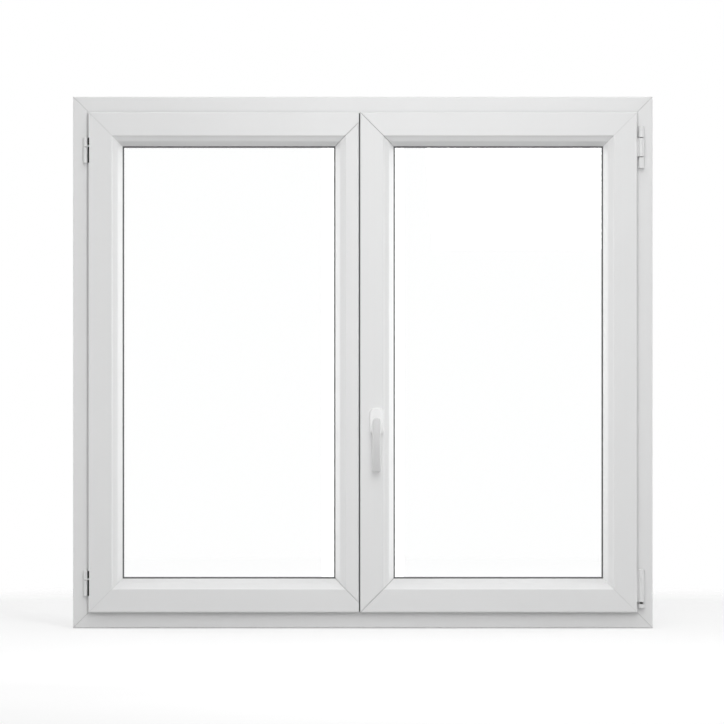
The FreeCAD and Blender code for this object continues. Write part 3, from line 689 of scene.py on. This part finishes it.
DRAIN_PITCH = 440 * MM
DRAIN_WIDTH = 44 * MM
DRAIN_LIP = 5 * MM
DRAIN_EDGE = 0.7 * MM
DRAIN_SLOTS = 5
SLOT_WIDTH = 5 * MM
SLOT_DEPTH = 2 * MM
SLOT_BOTTOM = 1.2 * MM
SLOT_TOP = 3.8 * MM


def make_drain_caps():
    """Hooded caps over the sill's drain slots, each with a row of slots in its front."""
    low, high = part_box("drain_caps")
    hoods = [drain_hood(middle, low, high) for middle in (-DRAIN_PITCH, 0, DRAIN_PITCH)]
    to_piece("drain_hoods", join(*hoods), "window", "white_cap", "drain_caps")


def drain_hood(middle, low, high):
    """One cap: a sloping hood whose front lip is slotted."""
    left = middle - DRAIN_WIDTH / 2
    shape = bmesh.new()
    draw(shape, [
        (left, low.y, low.z),
        (left, high.y, low.z),
        (left, high.y, low.z + DRAIN_LIP),
        (left, low.y, high.z),
    ])
    thicken(shape, (DRAIN_WIDTH, 0, 0))
    round_edges(shape, lambda place: near(place.y, high.y) or near(place.z, high.z), DRAIN_EDGE, 3)
    pitch = DRAIN_WIDTH / (DRAIN_SLOTS + 0.5)
    centres = [middle + (slot - (DRAIN_SLOTS - 1) / 2) * pitch for slot in range(DRAIN_SLOTS)]
    for centre in centres:
        cut(shape, (centre - SLOT_WIDTH / 2, 0, 0), (1, 0, 0))
        cut(shape, (centre + SLOT_WIDTH / 2, 0, 0), (1, 0, 0))
    slot_bottom = low.z + SLOT_BOTTOM
    slot_top = low.z + SLOT_TOP
    cut(shape, (0, 0, slot_bottom), (0, 0, 1))
    cut(shape, (0, 0, slot_top), (0, 0, 1))
    slots = []
    for face in shape.faces:
        place = face.calc_center_median()
        in_front = face.normal.y > NEARLY_ALL and slot_bottom < place.z < slot_top
        if in_front and any(near(place.x, centre) for centre in centres):
            slots.append(face)
    for face in slots:
        sunk = bmesh.ops.extrude_discrete_faces(shape, faces=[face])["faces"]
        bmesh.ops.translate(shape, verts=sunk[0].verts[:], vec=(0, -SLOT_DEPTH, 0))
    return shape


make_drain_caps()


# Floor and light

FLOOR_RADIUS = 3.0
FLOOR_FADE = 0.7
FLOOR_SHIFT = -1.0
FLOOR_DROP = -0.5 * MM
FILL_ALL_ROUND = 0.08
FILL_SIDES = 0.4
LEAF_MIDDLE = (0, 0, 0.55)


def white_where_seen(finish):
    """1 for the rays that show a background: seen straight, mirrored or through glass."""
    seen = finish.light_path("Is Camera Ray")
    for name in ("Is Glossy Ray", "Is Transmission Ray"):
        seen = seen.most(finish.light_path(name))
    return seen


def make_world(strength):
    """White behind the window, and light on it from above and from both sides."""
    world = bpy.data.worlds.new("studio")
    bpy.context.scene.world = world
    finish = Finish(world)
    seen = white_where_seen(finish)
    where = finish.node("ShaderNodeTexCoord", output="Generated")
    side = finish.node("ShaderNodeSeparateXYZ", inputs={0: where}, output="X")
    rise = finish.node("ShaderNodeSeparateXYZ", inputs={0: where}, output="Z")
    fill = strength * (FILL_ALL_ROUND + rise.most(0) + FILL_SIDES * side * side)
    level = seen + (1 - seen) * fill
    back = finish.node("ShaderNodeBackground", inputs={"Color": (1, 1, 1, 1), "Strength": level})
    finish.node("ShaderNodeOutputWorld", inputs={"Surface": back})


def pale_floor():
    """Matt grey that glows up to white where it is seen, and fades out at the floor's rim."""
    finish = new_finish("pale_floor")
    seen = white_where_seen(finish)
    mottle = finish.noise(3)
    where = finish.node("ShaderNodeTexCoord", output="Object")
    middle = (0, FLOOR_SHIFT, 0)
    centred = finish.node("ShaderNodeVectorMath", {"operation": "SUBTRACT"}, {0: where, 1: middle})
    reach = finish.node("ShaderNodeVectorMath", {"operation": "LENGTH"}, {0: centred}, output="Value")
    shown = finish.node("ShaderNodeMapRange", {"interpolation_type": "SMOOTHSTEP"}, {
        "Value": reach,
        "From Min": FLOOR_FADE * FLOOR_RADIUS,
        "From Max": FLOOR_RADIUS,
        "To Min": 1.0,
        "To Max": 0.0,
    })
    matt = finish.node("ShaderNodeBsdfDiffuse", inputs={
        "Color": finish.blend(mottle, (0.49, 0.49, 0.49), (0.51, 0.51, 0.51)),
    })
    glow = finish.node("ShaderNodeEmission", inputs={
        "Color": finish.blend(seen, (0, 0, 0), (0.46, 0.46, 0.46)),
        "Strength": 1.0,
    })
    lit = finish.node("ShaderNodeAddShader", inputs={0: matt, 1: glow})
    clear = finish.node("ShaderNodeBsdfTransparent")
    faded = finish.node("ShaderNodeMixShader", inputs={0: shown, 1: clear, 2: lit})
    finish.node("ShaderNodeOutputMaterial", inputs={"Surface": faded})
    return finish.owner


def make_floor():
    """Pale round floor that takes a faint shadow."""
    shape = bmesh.new()
    bmesh.ops.create_circle(shape, cap_ends=True, segments=96, radius=FLOOR_RADIUS)
    bmesh.ops.translate(shape, verts=shape.verts, vec=(0, FLOOR_SHIFT, FLOOR_DROP))
    floor = to_object("floor", shape)
    floor.data.materials.append(pale_floor())


def aim(thing, place, target):
    thing.location = place
    thing.rotation_euler = (Vector(target) - Vector(place)).to_track_quat("-Z", "Y").to_euler()


def add_lamp(name, place, width, height, watts):
    """A flat lamp that faces the middle of the window."""
    lamp = bpy.data.lights.new(name, "AREA")
    lamp.shape = "RECTANGLE"
    lamp.size = width
    lamp.size_y = height
    lamp.energy = watts
    made = bpy.data.objects.new(name, lamp)
    bpy.context.scene.collection.objects.link(made)
    aim(made, place, LEAF_MIDDLE)


make_world(0.88)
make_floor()
add_lamp("tall_room_light", (0.35, -2.4, 1.9), 0.5, 2.4, 18)
add_lamp("ceiling_light", (0.1, -1.3, 2.1), 1.6, 0.8, 3)
add_lamp("front_strip", (0, -1.8, 0.75), 0.2, 1.8, 4.5)
for side in (-1, 1):
    add_lamp("side_light", (2.6 * side, -0.5, 0.8), 0.5, 1.6, 5)
    add_lamp("daylight", (4.2 * side, 2.4, 0.65), 0.8, 3.2, 42)


# Camera, square-on and far back, so that the picture is as large as the photograph

LENS = 250
SENSOR = 36
PIXELS = 724
MM_PER_PIXEL = 2.069
MEASURED_AT = -40 * MM
PICTURE_X = -1.7 * MM
PICTURE_Z = 550.9 * MM


def make_camera():
    camera = bpy.data.cameras.new("camera")
    camera.lens = LENS
    camera.sensor_width = SENSOR
    camera.clip_end = 100
    viewer = bpy.data.objects.new("camera", camera)
    bpy.context.scene.collection.objects.link(viewer)
    distance = PIXELS * MM_PER_PIXEL * MM * LENS / SENSOR
    aim(viewer, (PICTURE_X, MEASURED_AT - distance, PICTURE_Z), (PICTURE_X, 0, PICTURE_Z))
    bpy.context.scene.camera = viewer


make_camera()
bpy.context.scene.view_settings.view_transform = "Standard"
